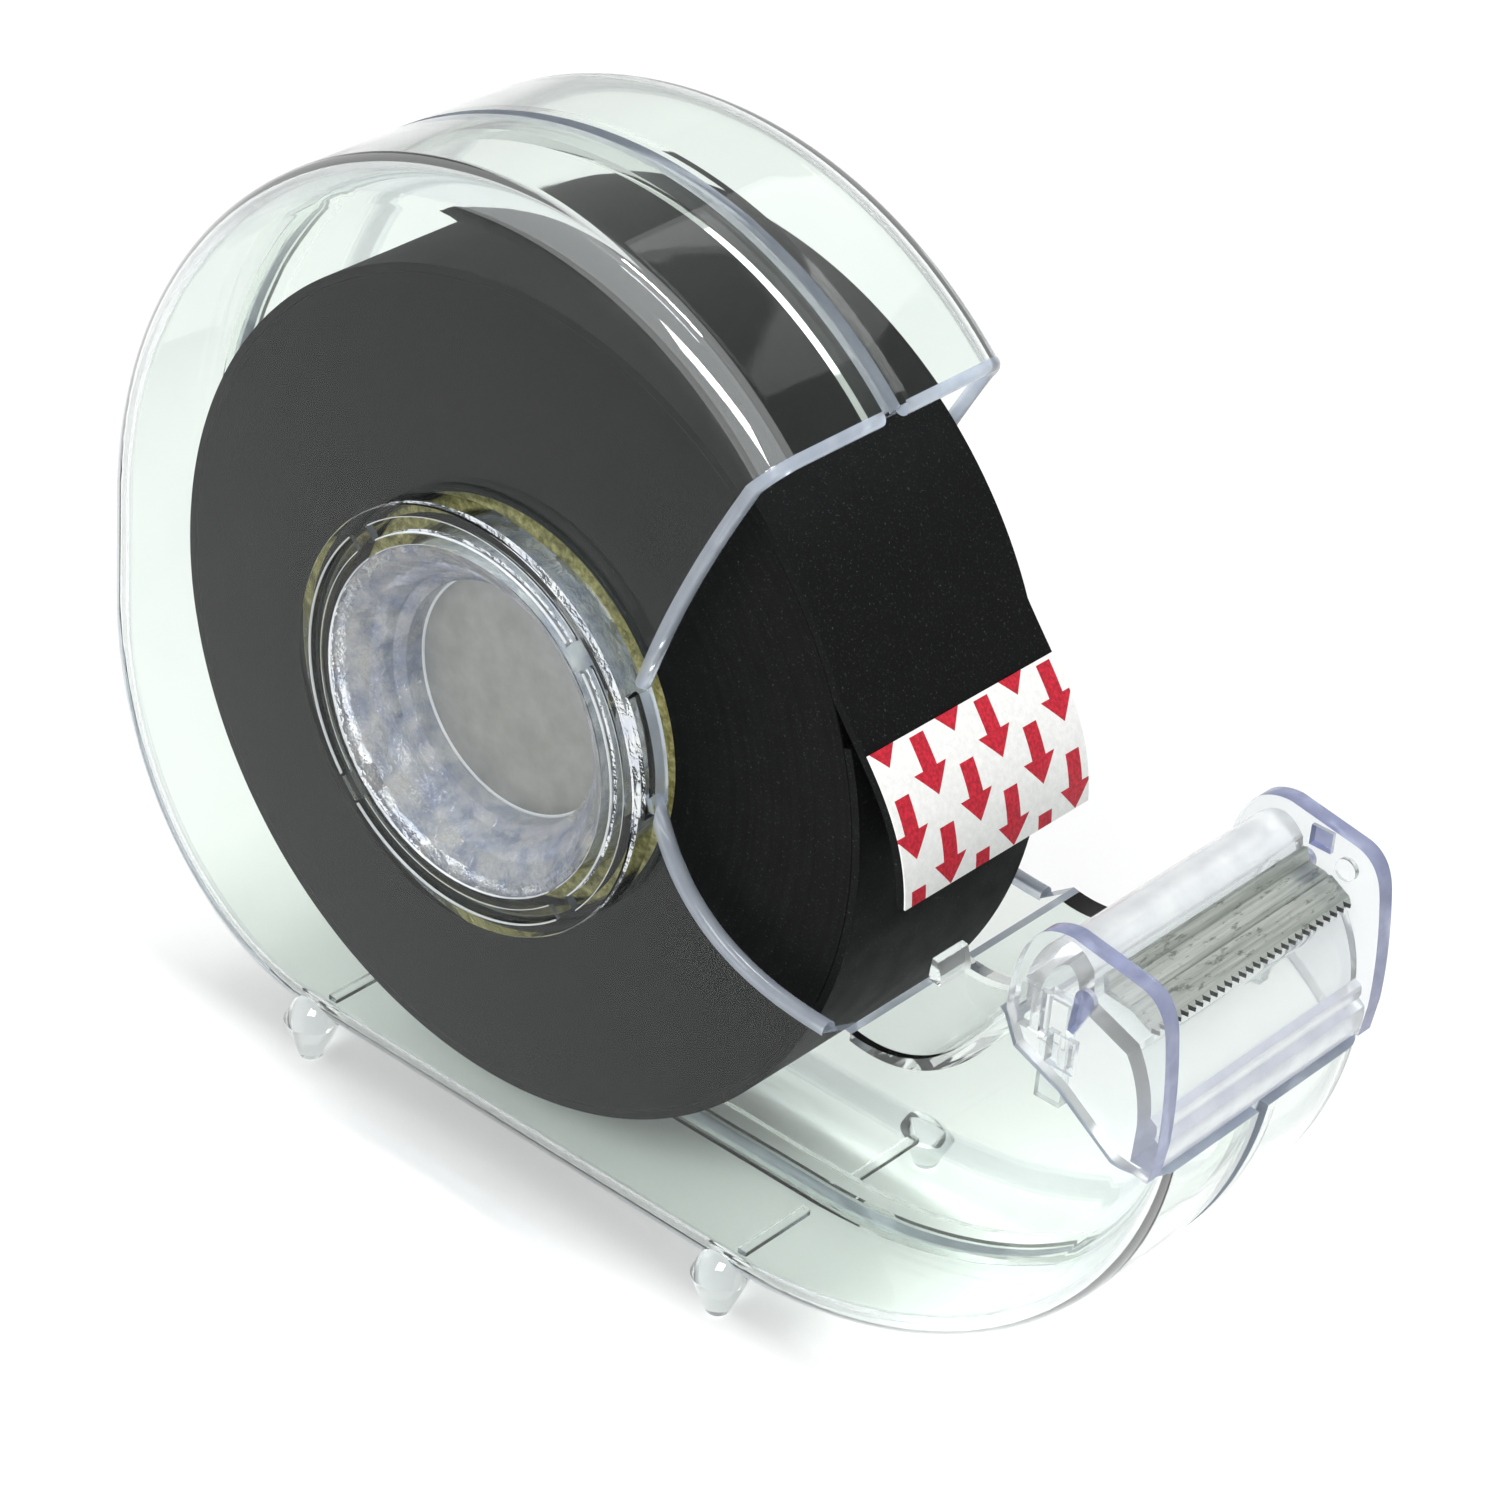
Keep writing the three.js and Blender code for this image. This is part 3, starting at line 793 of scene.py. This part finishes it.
def throat_floor(side):
    """The throat floor's half. It reaches above the floor's face, and the mouth cut trims it."""
    upper = throat_curve(-WALL / 2)
    lower = throat_curve(WALL)
    ends = sorted((side * SEAM, side * (CAVITY_HALF_WIDTH + WALL / 2)))
    return prism("throat", upper + lower[::-1], *ends)


def seam_band(side, outer, inner, y_near, y_far):
    """A strip that follows the rim, between two insets and two distances from the seam plane."""
    ends = sorted((side * y_near, side * y_far))
    band = prism("band", body_outline(outer), *ends)
    core = prism("band_core", body_outline(inner), ends[0] - 1, ends[1] + 1)
    return combine(band, "DIFFERENCE", core)


BEAD = WALL / 2 + 0.04


def tube(name, path, radius):
    """A round bar along a line of points, which may bend in any plane."""
    sides = 16
    points = [Vector(p) for p in path]
    normal = Vector((0.31, 0.52, 0.8))
    rings = []
    for i, p in enumerate(points):
        along = (points[min(i + 1, len(points) - 1)] - points[max(i - 1, 0)]).normalized()
        normal = (normal - along * normal.dot(along)).normalized()
        across = along.cross(normal)
        turn = [2 * math.pi * k / sides for k in range(sides)]
        rings.append([tuple(p + radius * (math.cos(a) * normal + math.sin(a) * across)) for a in turn])
    return dress(loft(name, rings), RIM)


def lip_radius():
    """Where the line of the lip meets the outside of the top."""
    cx, cz = TOP_FRONT_CENTRE
    along = cx * math.cos(LIP_ANGLE) + cz * math.sin(LIP_ANGLE)
    return along + math.sqrt(along**2 - cx**2 - cz**2 + (TOP_Z - cz) ** 2)


def mouth_beads(side):
    """The rounded edge of the mouth: across the lip, down to the hub, and from the hub to the throat."""
    mid_wall = HALF_WIDTH - WALL / 2
    top = lip_radius() - WALL / 2
    turn = EDGE_ROUND - WALL / 2
    across = [(SEAM + BEAD + (mid_wall - turn - SEAM - BEAD) * i / 12, top) for i in range(13)]
    corner = arc((mid_wall - turn, top - turn), turn, turn, math.pi / 2, 0, 12)
    lip = [(lip_point(r)[0], side * y, lip_point(r)[1]) for y, r in joined(across, corner)[:-1]]
    upper = upper_edge()
    lower = bezier([(15.0, 0.4), (17.3, -6.5), (22.5, -9.8), MOUTH_REAR_END], 36)
    upper_bead = tube("lip_bead", lip + [(x, side * mid_wall, z) for x, z in upper], BEAD)
    lower_bead = tube("mouth_bead", [(x, side * mid_wall, z) for x, z in lower], BEAD)
    return upper_bead, lower_bead


def slot_of(obj, mat):
    return next(i for i, held in enumerate(obj.data.materials) if held == mat)


def clear_throat(shell):
    """The broad face of the throat floor is clear. Only narrow cut faces keep the rim's look."""
    clear = slot_of(shell, CLEAR)
    rim = slot_of(shell, RIM)
    for face in shell.data.polygons:
        x, y, z = face.center
        broad = THROAT_REAR[0] + 0.25 < x < THROAT_FRONT[0] and z > THROAT_REAR[1] - 1.2
        if face.material_index == rim and broad and abs(face.normal.y) < 0.5 and abs(y) < CAVITY_HALF_WIDTH:
            face.material_index = clear


def paint_sheen_on_bends(shell):
    """The rounded corners between walls are seen lengthwise, so they look deeper than the flat walls. They
    get a copy of the plastic with a darker tint and a diffuse share: painted shade on the corners against
    light ground, and a painted pale sheen against the dark tape.
    """
    shell.data.materials.append(BEND)
    clear = slot_of(shell, CLEAR)
    bend = slot_of(shell, BEND)
    for face in shell.data.polygons:
        if face.material_index == clear and 0.2 < abs(face.normal.y) < 0.96:
            x, y, z = face.center
            if math.hypot(x, z) > HUB_RADIUS + 1:
                face.material_index = bend


def half_shell(name, side):
    shell = dress(soft_prism(name, body_outline, HALF_WIDTH, EDGE_ROUND), CLEAR)
    feet = [foot(x, side) for x in FOOT_X]
    combine(shell, "UNION", *feet)
    cavity = soft_prism(
        "cavity", lambda inset: body_outline(WALL + inset), CAVITY_HALF_WIDTH, EDGE_ROUND - WALL
    )
    whole_length = (-FAR_BEYOND, FAR_BEYOND)
    other_half = dress(block("other", whole_length, (side * SEAM, -side * BEYOND), whole_length), RIM)
    combine(shell, "DIFFERENCE", cavity, other_half)
    combine(shell, "UNION", throat_floor(side))
    mouth = dress(prism("mouth", mouth_outline(), -BEYOND, BEYOND), RIM)
    hole_radius = (SKIRT_INNER + HUB_RADIUS) / 2
    hole = disc("hole", hole_radius, -BEYOND, BEYOND)
    combine(shell, "DIFFERENCE", mouth, hole)
    clear_throat(shell)
    paint_sheen_on_bends(shell)
    rib_y = (side * (TONGUE_ROOT + GAP), side * (CAVITY_HALF_WIDTH - 1.5))
    rib_z = (FLOOR_Z + 0.6, FLOOR_Z + 1.7)
    ribs = [block("rib", (x, x + 0.7), rib_y, rib_z) for x in FOOT_X]
    return combine(shell, "UNION", hub(side), *mouth_beads(side), *ribs)


def right_shell():
    """The near half, with the little ear on the rear edge of its throat floor."""
    shell = half_shell("right_shell_moulding", -1)
    x0, z0 = THROAT_REAR
    ear = [
        (x0 - 0.05, z0 - 1),
        (x0 + 1.1, z0 - 1),
        (x0 + 1.1, z0 + 0.4),
        (x0 + 0.7, z0 + 1.6),
        (x0 + 0.2, z0 + 1.7),
    ]
    return combine(shell, "UNION", dress(prism("ear", ear, -3.6, -SEAM), CLEAR_NOSE))


def left_shell():
    """The far half, with the locating tongue that reaches under the near half's rim."""
    shell = half_shell("left_shell_moulding", 1)
    depth = WALL + GAP
    inner = depth + TONGUE_THICKNESS
    tongue = dress(seam_band(1, depth, inner, -TONGUE_REACH, TONGUE_ROOT), CLEAR_NOSE)
    root = dress(seam_band(1, WALL / 2, inner, SEAM + GAP, TONGUE_ROOT), CLEAR_NOSE)
    combine(tongue, "UNION", root)
    combine(tongue, "DIFFERENCE", dress(prism("mouth", mouth_outline(), -BEYOND, BEYOND), RIM))
    return combine(shell, "UNION", tongue)


# ---- Nose ----

CHEEK_INNER = 10.6


def cheek_outline():
    return joined(
        bezier([(45.3, -0.2), (45.2, 4.6), (47.2, 6.5)], 14),
        bezier([(47.2, 6.5), (48.2, 7.3), (49.6, 7.3)], 10),
        bezier([(55, 6.4), (56.8, 6.0), (57.2, 3.6)], 12),
        bezier([(57.2, 3.6), (57.9, -0.6), (57.75, -4.6)], 12),
        [(57.4, -7.2), (54.6, -6.9), (50.1, -3.9), (46.4, -2.4)],
    )


def nose_wall_outline():
    return joined(
        bezier([(45.7, -0.2), (45.8, 3.2), (47.3, 5.3)], 12),
        bezier([(47.3, 5.3), (49.2, 7.4), (50.9, 5.2)], 16),
        [(51.2, 3.2), (54.9, 1.8)],
        bezier([(54.9, 1.8), (56.4, -0.6), (56.5, -3.0)], 16),
        bezier([(57.0, -3.3), (57.2, -3.8), (57.0, -4.3)], 6),
        bezier([(57.5, -4.7), (57.7, -5.8), (57.3, -6.9)], 8),
        [(55.5, -6.9), (55.6, -4.2)],
        bezier([(55.6, -4.2), (55.4, -1.2), (54.1, 0.6)], 16),
        [(50.2, 2.1)],
        bezier([(50.2, 2.1), (50, 4.4), (49, 4.6)], 10),
        bezier([(49, 4.6), (47.2, 4), (46.9, -0.2)], 12),
    )


# The clip windows in each cheek, as (x, z) boxes, and the depth that they are cut to.
CLIP_WINDOWS = (
    ((46.2, 48.4), (-0.9, 2.4)),
    ((48.6, 50.8), (-2.6, -0.1)),
)
CLIP_DEPTH = 0.75


def cheek(side):
    """A cheek plate with clip windows cut in its outside and a latch bar standing in each."""
    outer = side * HALF_WIDTH
    floor = side * (HALF_WIDTH - CLIP_DEPTH)
    plate = dress(prism("cheek", cheek_outline(), *sorted((side * CHEEK_INNER, outer))), CLEAR_NOSE)
    plate.data.materials.append(NOSE_RIM)
    # The cheek's front and top faces take the nose's painted cut-edge shade.
    for face in plate.data.polygons:
        front_or_top = face.normal.x > 0.3 or face.normal.z > 0.5
        face.material_index = 1 if front_or_top and abs(face.normal.y) < 0.5 else 0
    windows = [dress(block("window", x, (floor, side * 20), z), CLEAR_NOSE) for x, z in CLIP_WINDOWS]
    slot = prism("slot", joined([(50.0, 0.6), (50.5, 0.5)], arc((51.0, 3.3), 0.75, 0.75, -0.6, 2.9, 10)),
                 *sorted((floor, side * 20)))
    combine(plate, "DIFFERENCE", *windows, dress(slot, NOSE_RIM))
    latches = [
        dress(block("latch", (x[0] + 0.8, x[1] - 0.7), (floor - side * 0.1, outer - side * 0.2),
                    (z[0] - 0.1, z[1] + 0.1)), CLEAR_NOSE)
        for x, z in CLIP_WINDOWS
    ]
    return combine(plate, "UNION", *latches)


def nose_head():
    wall = prism("nose_moulding", nose_wall_outline(), -CHEEK_INNER - 0.2, CHEEK_INNER + 0.2)
    head = dress(wall, CLEAR_NOSE)
    head.data.materials.append(NOSE_RIM)
    head.data.materials.append(PAINTED_SHEEN)
    # The hump and the lower bridge take the painted sheen; the downward faces take the nose's cut-edge
    # colour.
    for face in head.data.polygons:
        x, y, z = face.center
        on_hump = x < 50.9 and z > 3 and face.normal.z > 0.1
        on_bridge = z < -3.1 and face.normal.x > 0.3
        underneath = z < -6 and face.normal.z < -0.8
        face.material_index = 1 if underneath else 2 if on_hump or on_bridge else 0
    for side in (-1, 1):
        tab = block("tab", (47.4, 49.4), (side * 9.4, side * (CHEEK_INNER + 0.2)), (-1.8, 1.6))
        leg = block("leg", (47.4, 49.4), (side * 9.4, side * 10.3), (-6.4, -1.6))
        combine(head, "UNION", cheek(side), dress(tab, CLEAR_NOSE), dress(leg, CLEAR_NOSE))
    pocket = block("pocket", (51.4, 53.1), (CHEEK_INNER - 0.1, CHEEK_INNER + 0.6), (4.9, 6.4))
    combine(head, "DIFFERENCE", dress(pocket, NOSE_RIM))
    peg = prism("peg", arc((54.6, 4.6), 0.8, 0.8, 0, 2 * math.pi * 23 / 24, 23),
                CHEEK_INNER - 0.4, CHEEK_INNER + 0.1)
    return combine(head, "UNION", dress(peg, CLEAR_NOSE))


def cutter_blade():
    """A folded steel strip. Its front edge is cut into teeth, whose cut faces are coloured dark."""
    pitch = 0.75
    count = 27
    half = pitch * count / 2
    root = 55.3
    tip = 55.72
    behind = 51
    section = [
        (51.3, 4.9), (51.55, 3.65), (53.7, 3.4), (55.9, 2.35),
        (55.9, 2.65), (53.75, 3.85), (53.5, 3.75), (53.25, 3.9), (51.95, 4.05), (51.65, 5.0),
    ]
    blade = dress(prism("blade_strip", section, -half, half), STEEL)
    edge = [(behind, half), (behind, -half)]
    for tooth in range(count):
        y = -half + tooth * pitch
        edge += [(root, y), (tip, y + pitch / 2)]
    edge.append((root, half))
    comb = dress(loft("comb", [[(x, y, z) for x, y in edge] for z in (0, 6)]), CUT_STEEL)
    return combine(blade, "INTERSECT", comb)


# ---- Roll ----

LIFT_ANGLE = math.radians(25)
TAPE_MIDDLE = ROLL_RADIUS - TAPE_THICKNESS / 2


def hanging_tail(steps):
    lift = (TAPE_MIDDLE * math.cos(LIFT_ANGLE), TAPE_MIDDLE * math.sin(LIFT_ANGLE))
    return bezier([lift, (30.6, 9.2), (34, 6.4), (34.4, 0.5)], steps)


def strip(name, points, inner, outer):
    near = offset(points, inner)
    far = offset(points, outer)
    return prism(name, near + far[::-1], -HALF_TAPE, HALF_TAPE)


def ring(name, inner, outer, half_width, bevel):
    """A plain tube about the hub axis with its four edges bevelled."""
    edge = half_width - bevel
    profile = [
        (inner, -edge), (inner + bevel, -half_width), (outer - bevel, -half_width), (outer, -edge),
        (outer, edge), (outer - bevel, half_width), (inner + bevel, half_width), (inner, edge),
    ]
    return lathe(name, profile, 256)


def tape_lead():
    turn = arc((0, 0), TAPE_MIDDLE, TAPE_MIDDLE, LIFT_ANGLE + math.radians(354), LIFT_ANGLE, 220)
    points = joined(turn, hanging_tail(32))
    return strip("tape_strip", points, -TAPE_THICKNESS / 2, TAPE_THICKNESS / 2)


def liner_tab():
    """The printed liner over the last stretch of the tape."""
    length = 10.5
    thickness = 0.12
    tail = hanging_tail(60)
    covered = [tail[-1]]
    run = 0.0
    for before, after in zip(tail[-2::-1], tail[:0:-1]):
        run += math.dist(before, after)
        if run > length:
            break
        covered.append(before)
    base = TAPE_THICKNESS / 2 + 0.05
    sheet = strip("liner_sheet", covered[::-1], base, base + thickness)
    lay_out_sheet(sheet, covered[::-1])
    return sheet


def lay_out_sheet(obj, line):
    """Gives the liner a UV map in millimetres: along the line, and across from the right-hand edge."""
    runs = [0.0]
    for before, after in zip(line, line[1:]):
        runs.append(runs[-1] + math.dist(before, after))
    layer = obj.data.uv_layers.new(name="sheet")
    for loop in obj.data.loops:
        x, y, z = obj.data.vertices[loop.vertex_index].co
        nearest = min(range(len(line)), key=lambda i: math.dist(line[i], (x, z)))
        layer.data[loop.index].uv = (runs[nearest], y + HALF_TAPE)


def finish_piece(obj, body, cad_node, mat=None):
    """Places the piece and lets it stand for its CAD node. Without a material it keeps its own."""
    place(obj)
    if mat:
        obj.data.materials.clear()
        obj.data.materials.append(mat)
    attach(obj, body)
    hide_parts(cad_node)
    return obj


def build():
    right = right_shell()
    clean_faces(right)
    smooth(right)
    finish_piece(right, "cover", "right_shell")
    left = left_shell()
    clean_faces(left)
    smooth(left)
    finish_piece(left, "frame", "left_shell")
    nose = nose_head()
    clean_faces(nose)
    round_edges(nose, 0.2)
    smooth(nose)
    finish_piece(nose, "frame", "nose_head")
    blade = cutter_blade()
    smooth(blade, 8)
    finish_piece(blade, "frame", "cutter_blade")
    core = ring("core_tube", CORE_INNER_RADIUS, CORE_OUTER_RADIUS - 0.05, HALF_CORE, 0.2)
    smooth(core)
    finish_piece(core, "roll", "tape_core", CORE)
    roll = ring("wound_roll", CORE_OUTER_RADIUS, ROLL_RADIUS - TAPE_THICKNESS - 0.06, HALF_TAPE, 0.05)
    smooth(roll)
    finish_piece(roll, "roll", "tape_roll", TAPE_SIDE)
    lead = tape_lead()
    smooth(lead)
    finish_piece(lead, "lead", "tape_lead", TAPE_FACE)
    liner = liner_tab()
    smooth(liner)
    finish_piece(liner, "lead", "liner_tab", PAPER)


# ---- Stage ----

def camera():
    azimuth, elevation, roll = (math.radians(CAMERA_DEGREES[a]) for a in ("azimuth", "elevation", "roll"))
    back = Vector((
        math.sin(azimuth) * math.cos(elevation),
        -math.cos(azimuth) * math.cos(elevation),
        math.sin(elevation),
    ))
    level = (-back).cross(Vector((0, 0, 1))).normalized()
    upright = level.cross(-back)
    right = math.cos(roll) * level + math.sin(roll) * upright
    up = math.cos(roll) * upright - math.sin(roll) * level
    data = bpy.data.cameras.new("camera")
    data.lens = CAMERA_LENS
    data.clip_start = 0.01
    data.clip_end = 20
    cam = bpy.data.objects.new("camera", data)
    bpy.context.scene.collection.objects.link(cam)
    target = HUB + Vector(CAMERA_TARGET) * MM
    place_at = target + back * (CAMERA_DISTANCE * MM)
    turn = Matrix((right, up, back)).transposed().to_4x4()
    cam.matrix_world = Matrix.Translation(place_at) @ turn
    bpy.context.scene.camera = cam


def area_light(name, size, power, place_at, aim):
    """A rectangular lamp, in metres and watts."""
    data = bpy.data.lights.new(name, "AREA")
    data.shape = "RECTANGLE"
    data.size, data.size_y = size
    data.energy = power
    lamp = bpy.data.objects.new(name, data)
    bpy.context.scene.collection.objects.link(lamp)
    lamp.location = place_at
    lamp.rotation_mode = "QUATERNION"
    lamp.rotation_quaternion = (Vector(aim) - Vector(place_at)).to_track_quat("-Z", "Y")


def stage():
    verts = [(-3, -3, 0), (3, -3, 0), (3, 3, 0), (-3, 3, 0)]
    floor = new_object("studio_floor", verts, [(0, 1, 2, 3)])
    floor.location.z = -0.0002
    floor.data.materials.append(studio_white("floor_white"))
    world = bpy.data.worlds.new("studio")
    world.use_nodes = True
    world.node_tree.nodes["Background"].inputs["Color"].default_value = (1, 1, 1, 1)
    world.node_tree.nodes["Background"].inputs["Strength"].default_value = 0.7
    bpy.context.scene.world = world
    area_light("top_softbox", (0.3, 0.045), 2.7, (0.0, 0.03, 0.8), (0, 0, 0.03))
    area_light("back_strip", (0.5, 0.05), 0.15, (0.0, 0.52, 0.58), (0, 0, 0.03))
    area_light("key_strip", (0.3, 0.14), 1.5, (0.12, -0.43, 0.44), (0.02, 0, 0.06))


camera()
stage()
build()
bpy.context.scene.view_settings.view_transform = "Standard"
